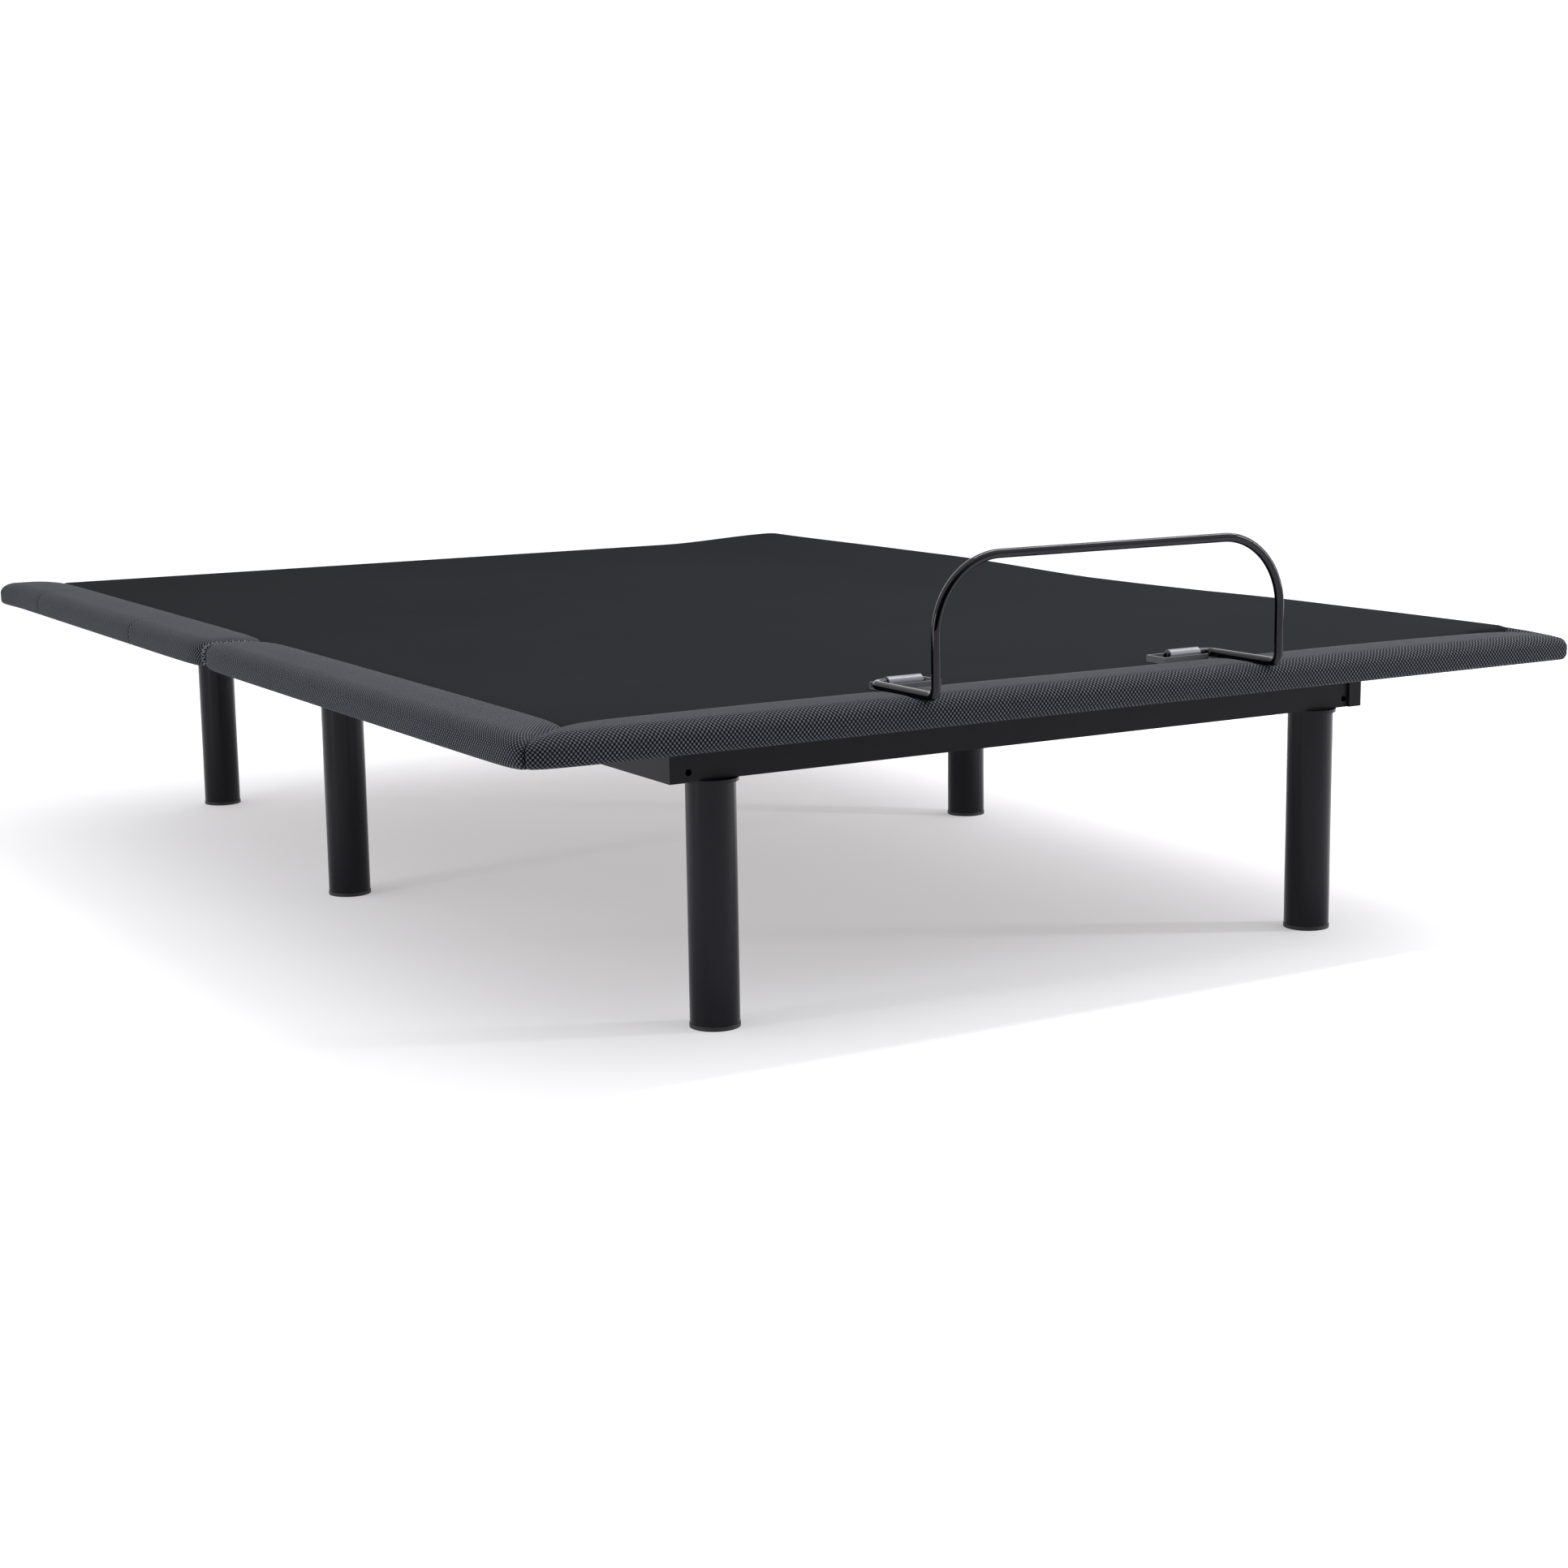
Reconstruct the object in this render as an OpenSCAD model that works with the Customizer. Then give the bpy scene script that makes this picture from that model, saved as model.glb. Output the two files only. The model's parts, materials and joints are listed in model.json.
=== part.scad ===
// Adjustable bed base: padded two-section deck on a six-legged steel chassis.
// The head section lifts on a concealed hinge line, pushed by a linear actuator.
// Millimetres. +Z up, +Y to the head end, origin at the bottom centre.

/* [Deck] */
// Overall width of the padded deck
deck_width = 1524; // [900:1:2000]
// Overall length of the padded deck
deck_length = 2060; // [1800:1:2200]
// Height of the underside of the padded edge
edge_bottom_z = 350; // [250:1:500]
// Height of the fabric surface
top_z = 379; // [300:1:550]
// Height of the crown of the padded edge
crown_z = 387; // [300:1:560]
// Width of the padded edge
border_width = 104; // [60:1:160]
// Outline corner radius at the foot end
corner_r = 24; // [5:1:60]
// Distance of the deck board edge inside the outline
board_inset = 62; // [20:1:100]
// Thickness of the deck boards
board_t = 18; // [9:1:30]

/* [Hinge line] */
// Height of the hinge axis
hinge_z = 372; // [300:1:500]
// Half of the gap between the deck boards
board_gap = 8; // [4:1:20]
// Half of the gap between the padded edges
border_gap = 4; // [2:1:12]
// Distance of each hinge from the centre line
hinge_x = 420; // [100:1:600]
// Radius of the hinge knuckles
knuckle_r = 6; // [4:0.5:8]
// Radius of the hinge pins
hinge_pin_r = 3; // [2:0.5:5]

/* [Chassis] */
// Outer face of the side rails, from the centre line
rail_x = 516.5; // [300:0.5:700]
// Width of the side rail tube
rail_w = 20; // [15:1:60]
// Underside of the rails
rail_z = 294; // [200:1:400]
// Height of the rail tube
rail_h = 48; // [20:1:80]
// Foot end of the side rails
rail_foot_y = -894; // [-1000:1:-600]
// Head end of the side rails
rail_head_y = 886; // [600:1:1000]
// Width of the end crossmembers
cross_w = 40; // [20:1:80]
// Wall of the tubes
wall = 2.5; // [1:0.1:5]
// Distance of the accessory bolt holes from the centre line
bolt_x = 490; // [200:1:700]
// Height of the accessory bolt holes
bolt_z = 305; // [200:1:400]
// Radius of the accessory bolt holes
bolt_r = 4; // [2:0.5:8]

/* [Legs] */
// Radius of the leg tube
leg_r = 29.5; // [15:0.5:50]
// Corner legs, from the centre line
leg_x = 451; // [200:1:700]
// Foot legs, along the length
leg_foot_y = -870; // [-1000:1:-500]
// Head legs, along the length
leg_head_y = 866; // [500:1:1000]
// Middle legs, from the centre line
mid_leg_x = 538; // [200:1:700]
// Middle legs, along the length
mid_leg_y = 55; // [-300:1:300]
// Radius of the threaded leg stud
stud_r = 5; // [3:0.5:8]

/* [Lift] */
// Lever length from the hinge axis to the actuator pin
lever_r = 100; // [60:1:140]
// Lever lean towards the foot end, at rest
lever_lean = 30; // [0:1:45]
// Radius of the actuator pins
act_pin_r = 6; // [4:0.5:10]
// Radius of the push rod
rod_r = 9; // [5:0.5:12]
// Inner radius of the actuator tube
tube_ri = 17; // [12:0.5:22]
// Outer radius of the actuator tube
tube_ro = 20; // [14:0.5:26]
// Rear pivot of the actuator, along the length
act_rear_y = -660; // [-900:1:-400]
// Radial clearance of a running fit
run = 0.05; // [0.02:0.01:0.1]

/* [Mattress retainer] */
// Radius of the retainer rod
bar_r = 5.5; // [4:0.5:8]
// Half width of the retainer bar, to the rod centre
bar_x = 250.5; // [100:0.5:400]
// Plane of the standing bar
bar_y = -1034.5; // [-1100:0.5:-900]
// Height of the rod centre at the top
bar_top_z = 544; // [420:0.5:700]
// Bend radius of the top corners
bar_top_r = 88; // [20:1:120]
// Height of the pivot axis
bar_pivot_z = 387; // [384:0.5:450]
// Position of the pivot axis along the length
bar_pivot_y = -903; // [-1000:1:-800]
// Bend radius at the foot of the bar
bar_low_r = 12; // [10:1:30]

/* [Control box] */
// Inner side of the control box
cbx = 250; // [100:1:330]
// Foot side of the control box
cby = -440; // [-600:1:-200]
// Underside of the control box
cbz = 316; // [300:0.5:320]

/* [Hidden] */
bracket_screws = [175, 238];
bracket_screw_y = bar_pivot_y + 11;
half_w = deck_width / 2;
head_y = 1035;
foot_y = head_y - deck_length;
hinge_y = (head_y + foot_y) / 2;
seam_x = half_w - border_width;
seam_y = foot_y + border_width;
board_x = half_w - board_inset;
board_z0 = 348;
board_z1 = board_z0 + board_t;
rail_z1 = rail_z + rail_h;
lever_y = hinge_y - lever_r * sin(lever_lean);
lever_z = hinge_z - lever_r * cos(lever_lean);
act_z = (lever_z + hinge_z - lever_r) / 2;
tube_y0 = -575;
tube_y1 = -85;
black = [0.06, 0.06, 0.065];
steel = [0.62, 0.63, 0.65];
wood = [0.62, 0.5, 0.35];
mesh = [0.2, 0.22, 0.25];
cloth = [0.12, 0.12, 0.125];
$fn = 64;

// ---------- helpers ----------

module box(a, b) {
  translate(a) cube([b[0] - a[0], b[1] - a[1], b[2] - a[2]]);
}

module tube_box(a, b, t) {
  difference() {
    box(a, b);
    box([a[0] + t, a[1] + t, a[2] + t], [b[0] - t, b[1] - t, b[2] - t]);
  }
}

module rod_x(x0, x1, y, z, r) {
  translate([x0, y, z]) rotate([0, 90, 0]) cylinder(r = r, h = x1 - x0);
}

module rod_y(x, y0, y1, z, r) {
  translate([x, y1, z]) rotate([90, 0, 0]) cylinder(r = r, h = y1 - y0);
}

module rod_z(x, y, z0, z1, r) {
  translate([x, y, z0]) cylinder(r = r, h = z1 - z0);
}

module left_side() {
  mirror([1, 0, 0]) children();
}

// ---------- chassis ----------

module rail() {
  tube_box([rail_x - rail_w, rail_foot_y, rail_z], [rail_x, rail_head_y, rail_z1], wall);
}

module end_cross(y0, leg_y, face_y) {
  difference() {
    tube_box([-(rail_x - rail_w), y0, rail_z], [rail_x - rail_w, y0 + cross_w, rail_z1], wall);
    for (s = [-1, 1]) {
      rod_z(s * leg_x, leg_y, rail_z - 1, rail_z + wall + 1, stud_r + 0.3);
      rod_y(s * bolt_x, face_y - wall - 1, face_y + wall + 1, bolt_z, bolt_r);
    }
  }
}

module inner_cross(y0, y1) {
  tube_box([-(rail_x - rail_w), y0, 312], [rail_x - rail_w, y1, rail_z1], wall);
}

module outrigger() {
  difference() {
    box([rail_x, mid_leg_y - 30, rail_z], [mid_leg_x + 33, mid_leg_y + 30, rail_z1]);
    box([rail_x - 1, mid_leg_y - 27, rail_z + 4], [mid_leg_x + 30, mid_leg_y + 27, rail_z1 + 1]);
    rod_z(mid_leg_x, mid_leg_y, rail_z - 1, rail_z + 5, stud_r + 0.3);
  }
}

module leg(x, y) {
  difference() {
    union() {
      rod_z(x, y, 5, rail_z - 4, leg_r);
      rod_z(x, y, rail_z - 4, rail_z, leg_r + 3.5);
      rod_z(x, y, rail_z - 1, rail_z + 16, stud_r);
    }
    rod_z(x, y, 4, rail_z - 8, leg_r - 2);
  }
}

module glide(x, y) {
  difference() {
    union() {
      rod_z(x, y, 0, 5, leg_r + 0.5);
      rod_z(x, y, 4, 20, leg_r - 2);
    }
    rod_z(x, y, 8, 21, leg_r - 5);
  }
}

module side_rail_left() { color(black) left_side() rail(); }
module side_rail_right() { color(black) rail(); }
module foot_crossmember() { color(black) end_cross(rail_foot_y + 4, leg_foot_y, rail_foot_y + 4); }
module head_crossmember() { color(black) end_cross(rail_head_y - cross_w, leg_head_y, rail_head_y); }
module hinge_crossmember() { color(black) inner_cross(-125, -95); }
module actuator_crossmember() { color(black) inner_cross(act_rear_y - 20, act_rear_y + 20); }
module outrigger_left() { color(black) left_side() outrigger(); }
module outrigger_right() { color(black) outrigger(); }
module leg_foot_left() { color(black) leg(-leg_x, leg_foot_y); }
module leg_foot_right() { color(black) leg(leg_x, leg_foot_y); }
module leg_mid_left() { color(black) leg(-mid_leg_x, mid_leg_y); }
module leg_mid_right() { color(black) leg(mid_leg_x, mid_leg_y); }
module leg_head_left() { color(black) leg(-leg_x, leg_head_y); }
module leg_head_right() { color(black) leg(leg_x, leg_head_y); }
module glide_foot_left() { color(black) glide(-leg_x, leg_foot_y); }
module glide_foot_right() { color(black) glide(leg_x, leg_foot_y); }
module glide_mid_left() { color(black) glide(-mid_leg_x, mid_leg_y); }
module glide_mid_right() { color(black) glide(mid_leg_x, mid_leg_y); }
module glide_head_left() { color(black) glide(-leg_x, leg_head_y); }
module glide_head_right() { color(black) glide(leg_x, leg_head_y); }

// ---------- padded deck ----------

// Half section of the padded edge, x outwards from the seam and y up from the floor.
module edge_section() {
  w = border_width;
  ro = 13;
  rb = 7;
  polygon(concat(
    [[0, board_z1], [0, top_z], [8, top_z + 3.5], [22, crown_z - 1.2], [40, crown_z]],
    [for (a = [90:-15:0]) [w - ro + ro * cos(a), crown_z - ro + ro * sin(a)]],
    [for (a = [0:-22.5:-90]) [w - rb + rb * cos(a), edge_bottom_z + rb + rb * sin(a)]],
    [[w - board_inset, edge_bottom_z], [w - board_inset, board_z1]]
  ));
}

module side_edge(y0, y1) {
  translate([seam_x, y1, 0]) rotate([90, 0, 0]) linear_extrude(y1 - y0) edge_section();
}

module foot_edge() {
  translate([-half_w, seam_y, 0]) rotate([90, 0, -90])
    mirror([0, 0, 1]) linear_extrude(2 * half_w) edge_section();
}

// Plan of one foot corner, used to round the outline.
module corner_cut() {
  translate([half_w - corner_r, foot_y + corner_r, edge_bottom_z - 10])
    difference() {
      translate([0, -corner_r - 20, 0]) cube([corner_r + 20, corner_r + 20, 60]);
      translate([0, 0, -1]) cylinder(r = corner_r, h = 62);
    }
}

// Everything on the side of the mitre that belongs to the long edge.
module mitre_side() {
  translate([seam_x, seam_y, edge_bottom_z - 10]) rotate([0, 0, -45])
    translate([-2200, 0, 0]) cube([4400, 2200, 60]);
}

module fixed_border() {
  difference() {
    intersection() {
      side_edge(foot_y, hinge_y - border_gap);
      mitre_side();
    }
    corner_cut();
    end_bevel(hinge_y - border_gap, 1);
  }
}

// Bevel over the hinge line; side is 1 for the fixed edge and -1 for the lifting edge.
module end_bevel(y, side) {
  translate([half_w - border_width - 5, y, hinge_z + 3])
    rotate([-45 * side, 0, 0])
      translate([0, side > 0 ? -20 : -40, 0]) cube([border_width + 10, 60, 30]);
}

module head_border() {
  difference() {
    side_edge(hinge_y + border_gap, head_y);
    end_bevel(hinge_y + border_gap, -1);
  }
}

module pad_screw_holes() {
  for (s = [-1, 1])
    for (x = bracket_screws)
      rod_z(s * x, bracket_screw_y, board_z1 - 1, top_z + 1, 3);
}

module fixed_board() {
  color(wood) difference() {
    box([-board_x, foot_y + board_inset, board_z0], [board_x, hinge_y - board_gap, board_z1]);
    for (s = [-1, 1])
      for (x = bracket_screws)
        rod_z(s * x, bracket_screw_y, board_z1 - 12, board_z1 + 1, 3);
  }
}
module fixed_pad() {
  color(cloth) difference() {
    box([-seam_x, seam_y, board_z1], [seam_x, hinge_y - board_gap, top_z]);
    pad_screw_holes();
  }
}
module fixed_border_left() { color(mesh) left_side() fixed_border(); }
module fixed_border_right() { color(mesh) fixed_border(); }
// The arms of the retainer bar press a channel into the soft edge.
module arm_channel() {
  box([bar_x - 7, foot_y - 20, bar_pivot_z - bar_r - 0.4], [bar_x + 7, seam_y + 1, crown_z + 5]);
}
module foot_border() {
  color(mesh) difference() {
    foot_edge();
    arm_channel();
    left_side() arm_channel();
    mitre_side();
    left_side() mitre_side();
    corner_cut();
    left_side() corner_cut();
  }
}
module head_board() {
  color(wood) box([-board_x, hinge_y + board_gap, board_z0], [board_x, head_y - 15, board_z1]);
}
module head_pad() {
  color(cloth) union() {
    box([-seam_x, hinge_y + board_gap, board_z1], [seam_x, head_y, top_z]);
    box([-seam_x, head_y - 15, edge_bottom_z], [seam_x, head_y, board_z1 + 1]);
    box([-board_x, head_y - 15, edge_bottom_z], [board_x, head_y, board_z1]);
  }
}
module head_border_left() { color(mesh) left_side() head_border(); }
module head_border_right() { color(mesh) head_border(); }

module spacer() {
  box([rail_x - rail_w + 2, -880, rail_z1], [rail_x - 2, -20, board_z0]);
}
module bumper() {
  for (y = [300, 700]) box([rail_x - rail_w + 2, y, rail_z1], [rail_x - 2, y + 50, board_z0 - 0.3]);
}
module spacer_left() { color(black) left_side() spacer(); }
module spacer_right() { color(black) spacer(); }
module bumper_left() { color(black) left_side() bumper(); }
module bumper_right() { color(black) bumper(); }

// ---------- mattress retainer ----------

module bend(r) {
  rotate_extrude(angle = 90) translate([r, 0]) circle(r = bar_r);
}

module half_bar() {
  // top half
  rod_x(0, bar_x - bar_top_r, bar_y, bar_top_z, bar_r);
  translate([bar_x - bar_top_r, bar_y, bar_top_z - bar_top_r]) rotate([90, 0, 0]) bend(bar_top_r);
  rod_z(bar_x, bar_y, bar_pivot_z + bar_low_r, bar_top_z - bar_top_r, bar_r);
  // turn towards the head end
  translate([bar_x, bar_y + bar_low_r, bar_pivot_z + bar_low_r]) rotate([0, -90, 0]) rotate([0, 0, 180])
    bend(bar_low_r);
  rod_y(bar_x, bar_y + bar_low_r, bar_pivot_y - bar_low_r, bar_pivot_z, bar_r);
  // turn inwards to the pivot
  translate([bar_x - bar_low_r, bar_pivot_y - bar_low_r, bar_pivot_z]) bend(bar_low_r);
  rod_x(182, bar_x - bar_low_r, bar_pivot_y, bar_pivot_z, bar_r);
}

module retainer_bar() {
  color([0.2, 0.2, 0.21]) union() {
    half_bar();
    left_side() half_bar();
  }
}

module bar_bracket() {
  y0 = seam_y + 0.5;
  y1 = y0 + 36;
  difference() {
    union() {
      box([166, y0, top_z], [243.5, y1, top_z + 1.6]);
      // raised rim, open where the rod leaves
      box([166, y0, top_z], [168, y1, top_z + 8.5]);
      box([166, y0, top_z], [236, y0 + 2, top_z + 8.5]);
      box([166, y1 - 2, top_z], [243.5, y1, top_z + 8.5]);
      // sleeve that wraps the rod
      box([185, bar_pivot_y - 6.5, top_z + 1], [232, bar_pivot_y + 6.5, bar_pivot_z]);
      rod_x(185, 232, bar_pivot_y, bar_pivot_z, bar_r + 2);
    }
    rod_x(184, 233, bar_pivot_y, bar_pivot_z, bar_r + run);
    for (x = bracket_screws) rod_z(x, bracket_screw_y, top_z - 1, top_z + 4, 3);
  }
}

module bar_screws() {
  for (x = bracket_screws) {
    rod_z(x, bracket_screw_y, board_z1 - 12, top_z + 2, 3);
    translate([x, bracket_screw_y, top_z + 1.6])
      difference() {
        cylinder(r = 4.2, h = 2.8);
        translate([0, 0, 1.3]) cylinder(r = 2, h = 2, $fn = 6);
      }
  }
}
module bar_bracket_left() { color(steel) left_side() bar_bracket(); }
module bar_bracket_right() { color(steel) bar_bracket(); }
module bar_screws_left() { color(steel) left_side() bar_screws(); }
module bar_screws_right() { color(steel) bar_screws(); }

// ---------- hinge line ----------

module hinge_fixed() {
  difference() {
    union() {
      rod_x(hinge_x - 10, hinge_x + 10, hinge_y, hinge_z, knuckle_r);
      box([hinge_x - 10, hinge_y - 7.9, hinge_z - 9], [hinge_x + 10, hinge_y - 5.5, hinge_z]);
      box([hinge_x - 10, hinge_y - 6.5, hinge_z - 2.5], [hinge_x + 10, hinge_y - 4, hinge_z]);
      box([hinge_x - 30, hinge_y - 7.9, board_z0 - 2.6], [hinge_x + 30, hinge_y - 5.5, hinge_z - 8]);
      box([hinge_x - 30, hinge_y - 40, board_z0 - 2.6], [hinge_x + 30, hinge_y - 5.5, board_z0 - 0.1]);
    }
    rod_x(hinge_x - 31, hinge_x + 31, hinge_y, hinge_z, hinge_pin_r);
  }
}
module hinge_head() {
  difference() {
    union() {
      for (x = [-30, 10.3]) {
        rod_x(hinge_x + x, hinge_x + x + 19.7, hinge_y, hinge_z, knuckle_r);
        box([hinge_x + x, hinge_y + 5.5, hinge_z - 9], [hinge_x + x + 19.7, hinge_y + 7.9, hinge_z]);
        box([hinge_x + x, hinge_y + 4, hinge_z - 2.5], [hinge_x + x + 19.7, hinge_y + 6.5, hinge_z]);
      }
      box([hinge_x - 30, hinge_y + 5.5, board_z0 - 2.6], [hinge_x + 30, hinge_y + 7.9, hinge_z - 8]);
      box([hinge_x - 30, hinge_y + 5.5, board_z0 - 2.6], [hinge_x + 30, hinge_y + 32, board_z0 - 0.1]);
    }
    rod_x(hinge_x - 31, hinge_x + 31, hinge_y, hinge_z, hinge_pin_r + run);
  }
}
module hinge_pin() {
  union() {
    rod_x(hinge_x - 31, hinge_x + 31, hinge_y, hinge_z, hinge_pin_r);
    rod_x(hinge_x + 30.3, hinge_x + 32, hinge_y, hinge_z, hinge_pin_r + 1.5);
  }
}
module hinge_fixed_left() { color(steel) left_side() hinge_fixed(); }
module hinge_fixed_right() { color(steel) hinge_fixed(); }
module hinge_head_left() { color(steel) left_side() hinge_head(); }
module hinge_head_right() { color(steel) hinge_head(); }
module hinge_pin_left() { color(steel) left_side() hinge_pin(); }
module hinge_pin_right() { color(steel) hinge_pin(); }

// ---------- lift frame ----------

module lift_arm() {
  tube_box([290, 70, 328], [310, 800, board_z0], 2);
}
module lift_arm_left() { color(black) left_side() lift_arm(); }
module lift_arm_right() { color(black) lift_arm(); }
module lift_cross_tube() { color(black) tube_box([-290, 500, 328], [290, 520, board_z0], 2); }

module lever_plate() {
  difference() {
    union() {
      translate([17, 0, 0]) rotate([90, 0, 90]) linear_extrude(6)
        polygon([[45, 345], [68, 318], [lever_y + 8, lever_z - 12], [lever_y - 11, lever_z + 11]]);
      rod_x(17, 23, lever_y, lever_z, 16);
    }
    rod_x(16, 24, lever_y, lever_z, act_pin_r);
  }
}
module lift_lever() {
  color(black) union() {
    tube_box([-310, 40, 318], [310, 70, board_z0], wall);
    lever_plate();
    left_side() lever_plate();
  }
}
module lever_pin() {
  color(steel) union() {
    rod_x(-26, 28, lever_y, lever_z, act_pin_r);
    rod_x(23, 26, lever_y, lever_z, act_pin_r + 3);
  }
}

module actuator_rod() {
  color(steel) difference() {
    union() {
      rod_y(0, lever_y - 195, lever_y - 10, lever_z, rod_r);
      rod_x(-13, 13, lever_y, lever_z, 15);
    }
    rod_x(-14, 14, lever_y, lever_z, act_pin_r + run);
  }
}
module actuator_tube() {
  color([0.16, 0.16, 0.17]) difference() {
    union() {
      rod_y(0, tube_y0, tube_y1, act_z, tube_ro);
      rod_y(0, tube_y1 - 14, tube_y1, act_z, tube_ro + 2.5);
    }
    rod_y(0, tube_y0 - 1, tube_y1 + 1, act_z, tube_ri);
  }
}
module gear_housing() {
  color([0.16, 0.16, 0.17]) difference() {
    union() {
      box([-30, act_rear_y + 22, act_z - 28], [84, tube_y0, act_z + 28]);
      box([-12, act_rear_y, act_z - 13], [12, act_rear_y + 23, act_z + 13]);
      rod_x(-12, 12, act_rear_y, act_z, 13);
    }
    rod_x(-13, 13, act_rear_y, act_z, act_pin_r);
    for (x = [-22, 76]) for (z = [-20, 20])
      rod_y(x, tube_y0 - 8, tube_y0 + 1, act_z + z, 2.5);
  }
}
module actuator_motor() {
  color([0.12, 0.12, 0.13]) union() {
    rod_y(56, tube_y0, tube_y0 + 110, act_z, 23);
    rod_y(56, tube_y0 + 109, tube_y0 + 122, act_z, 19);
    rod_y(56, tube_y0, tube_y0 + 6, act_z, 26);
  }
}
module rear_bracket() {
  color(black) difference() {
    union() {
      box([-28, act_rear_y - 18, 308], [28, act_rear_y + 18, 312]);
      for (x = [-19, 14]) {
        box([x, act_rear_y - 15, act_z], [x + 5, act_rear_y + 15, 309]);
        rod_x(x, x + 5, act_rear_y, act_z, 15);
      }
    }
    rod_x(-20, 20, act_rear_y, act_z, act_pin_r);
  }
}
module rear_pin() {
  color(steel) union() {
    rod_x(-22, 24, act_rear_y, act_z, act_pin_r);
    rod_x(19, 22, act_rear_y, act_z, act_pin_r + 3);
  }
}

// ---------- control box ----------

module control_box() {
  color([0.1, 0.1, 0.11]) difference() {
    union() {
      box([cbx, cby, cbz + 2], [cbx + 120, cby + 100, board_z0]);
      box([cbx - 14, cby + 20, board_z0 - 3], [cbx + 134, cby + 80, board_z0]);
    }
    box([cbx + 2.5, cby + 2.5, cbz + 1], [cbx + 117.5, cby + 97.5, board_z0 - 3]);
    for (x = [-8, 128]) rod_z(cbx + x, cby + 50, board_z0 - 4, board_z0 + 1, 2.2);
    rod_y(cbx + 90, cby - 1, cby + 4, cbz + 16, 6);
  }
}
module control_lid() {
  color([0.1, 0.1, 0.11]) difference() {
    box([cbx, cby, cbz], [cbx + 120, cby + 100, cbz + 2]);
    rod_z(cbx + 30, cby + 30, cbz - 1, cbz + 3, 5);
    for (i = [0:6]) box([cbx + 60 + i * 7, cby + 25, cbz - 1], [cbx + 63 + i * 7, cby + 75, cbz + 3]);
  }
}
module control_board() {
  color([0.1, 0.3, 0.16]) union() {
    box([cbx + 6, cby + 6, cbz + 22], [cbx + 114, cby + 94, cbz + 23.6]);
    box([cbx + 12, cby + 60, cbz + 12], [cbx + 34, cby + 82, cbz + 22.5]);
    rod_z(cbx + 60, cby + 70, cbz + 10, cbz + 22.5, 7);
    rod_z(cbx + 80, cby + 70, cbz + 10, cbz + 22.5, 7);
    box([cbx + 20, cby + 20, cbz + 12], [cbx + 40, cby + 40, cbz + 22.5]);
  }
}
module pair_button() {
  color([0.6, 0.6, 0.62]) union() {
    rod_z(cbx + 30, cby + 30, cbz - 2, cbz + 4, 4.94);
    rod_z(cbx + 30, cby + 30, cbz + 2.1, cbz + 4, 7);
  }
}
module power_inlet() {
  color([0.05, 0.05, 0.05]) difference() {
    union() {
      rod_y(cbx + 90, cby - 2, cby + 16, cbz + 16, 5.9);
      rod_y(cbx + 90, cby - 2, cby, cbz + 16, 8);
    }
    rod_y(cbx + 90, cby - 3, cby + 13, cbz + 16, 3);
  }
}

side_rail_left();
side_rail_right();
foot_crossmember();
head_crossmember();
hinge_crossmember();
actuator_crossmember();
outrigger_left();
outrigger_right();
leg_foot_left();
leg_foot_right();
leg_mid_left();
leg_mid_right();
leg_head_left();
leg_head_right();
glide_foot_left();
glide_foot_right();
glide_mid_left();
glide_mid_right();
glide_head_left();
glide_head_right();
fixed_board();
fixed_pad();
fixed_border_left();
fixed_border_right();
foot_border();
spacer_left();
spacer_right();
bumper_left();
bumper_right();
bar_bracket_left();
bar_bracket_right();
bar_screws_left();
bar_screws_right();
hinge_fixed_left();
hinge_fixed_right();
hinge_pin_left();
hinge_pin_right();
actuator_tube();
gear_housing();
actuator_motor();
rear_bracket();
rear_pin();
control_box();
control_lid();
control_board();
power_inlet();
head_board();
head_pad();
head_border_left();
head_border_right();
lift_arm_left();
lift_arm_right();
lift_lever();
lift_cross_tube();
lever_pin();
hinge_head_left();
hinge_head_right();
actuator_rod();
retainer_bar();
pair_button();
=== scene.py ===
"""Looks of the adjustable bed base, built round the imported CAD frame.

Everything is in metres, in the frame of the CAD: +Z up, +Y to the head end.
"""

import json
import math

import bmesh
import bpy
from mathutils import Matrix, Vector, noise


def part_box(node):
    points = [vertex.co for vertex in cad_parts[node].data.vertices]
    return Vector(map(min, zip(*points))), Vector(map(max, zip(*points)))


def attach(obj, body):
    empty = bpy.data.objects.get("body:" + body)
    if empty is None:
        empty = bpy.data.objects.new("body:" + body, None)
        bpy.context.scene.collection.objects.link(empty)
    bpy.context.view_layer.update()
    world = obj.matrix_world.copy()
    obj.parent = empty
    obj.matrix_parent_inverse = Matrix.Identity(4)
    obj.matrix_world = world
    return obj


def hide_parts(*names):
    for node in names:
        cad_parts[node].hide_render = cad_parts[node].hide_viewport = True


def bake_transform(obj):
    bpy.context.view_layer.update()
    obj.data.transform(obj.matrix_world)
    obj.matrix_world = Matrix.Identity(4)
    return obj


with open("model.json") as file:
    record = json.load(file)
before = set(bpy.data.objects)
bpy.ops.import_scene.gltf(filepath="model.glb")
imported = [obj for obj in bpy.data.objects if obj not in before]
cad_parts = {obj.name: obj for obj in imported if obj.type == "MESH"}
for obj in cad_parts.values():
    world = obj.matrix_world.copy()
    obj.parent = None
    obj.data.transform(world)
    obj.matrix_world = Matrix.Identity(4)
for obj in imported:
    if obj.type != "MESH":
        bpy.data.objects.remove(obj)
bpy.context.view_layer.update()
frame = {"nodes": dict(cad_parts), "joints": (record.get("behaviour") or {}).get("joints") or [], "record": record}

# ---------- measures taken from the frame ----------

HINGE = Vector(next(j for j in frame["joints"] if j["name"] == "head_lift")["pos_m"])
PAD_LO, PAD_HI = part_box("fixed_pad")
HEAD_LO, HEAD_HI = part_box("head_pad")
EDGE_LO, EDGE_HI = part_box("head_border_right")

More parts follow.
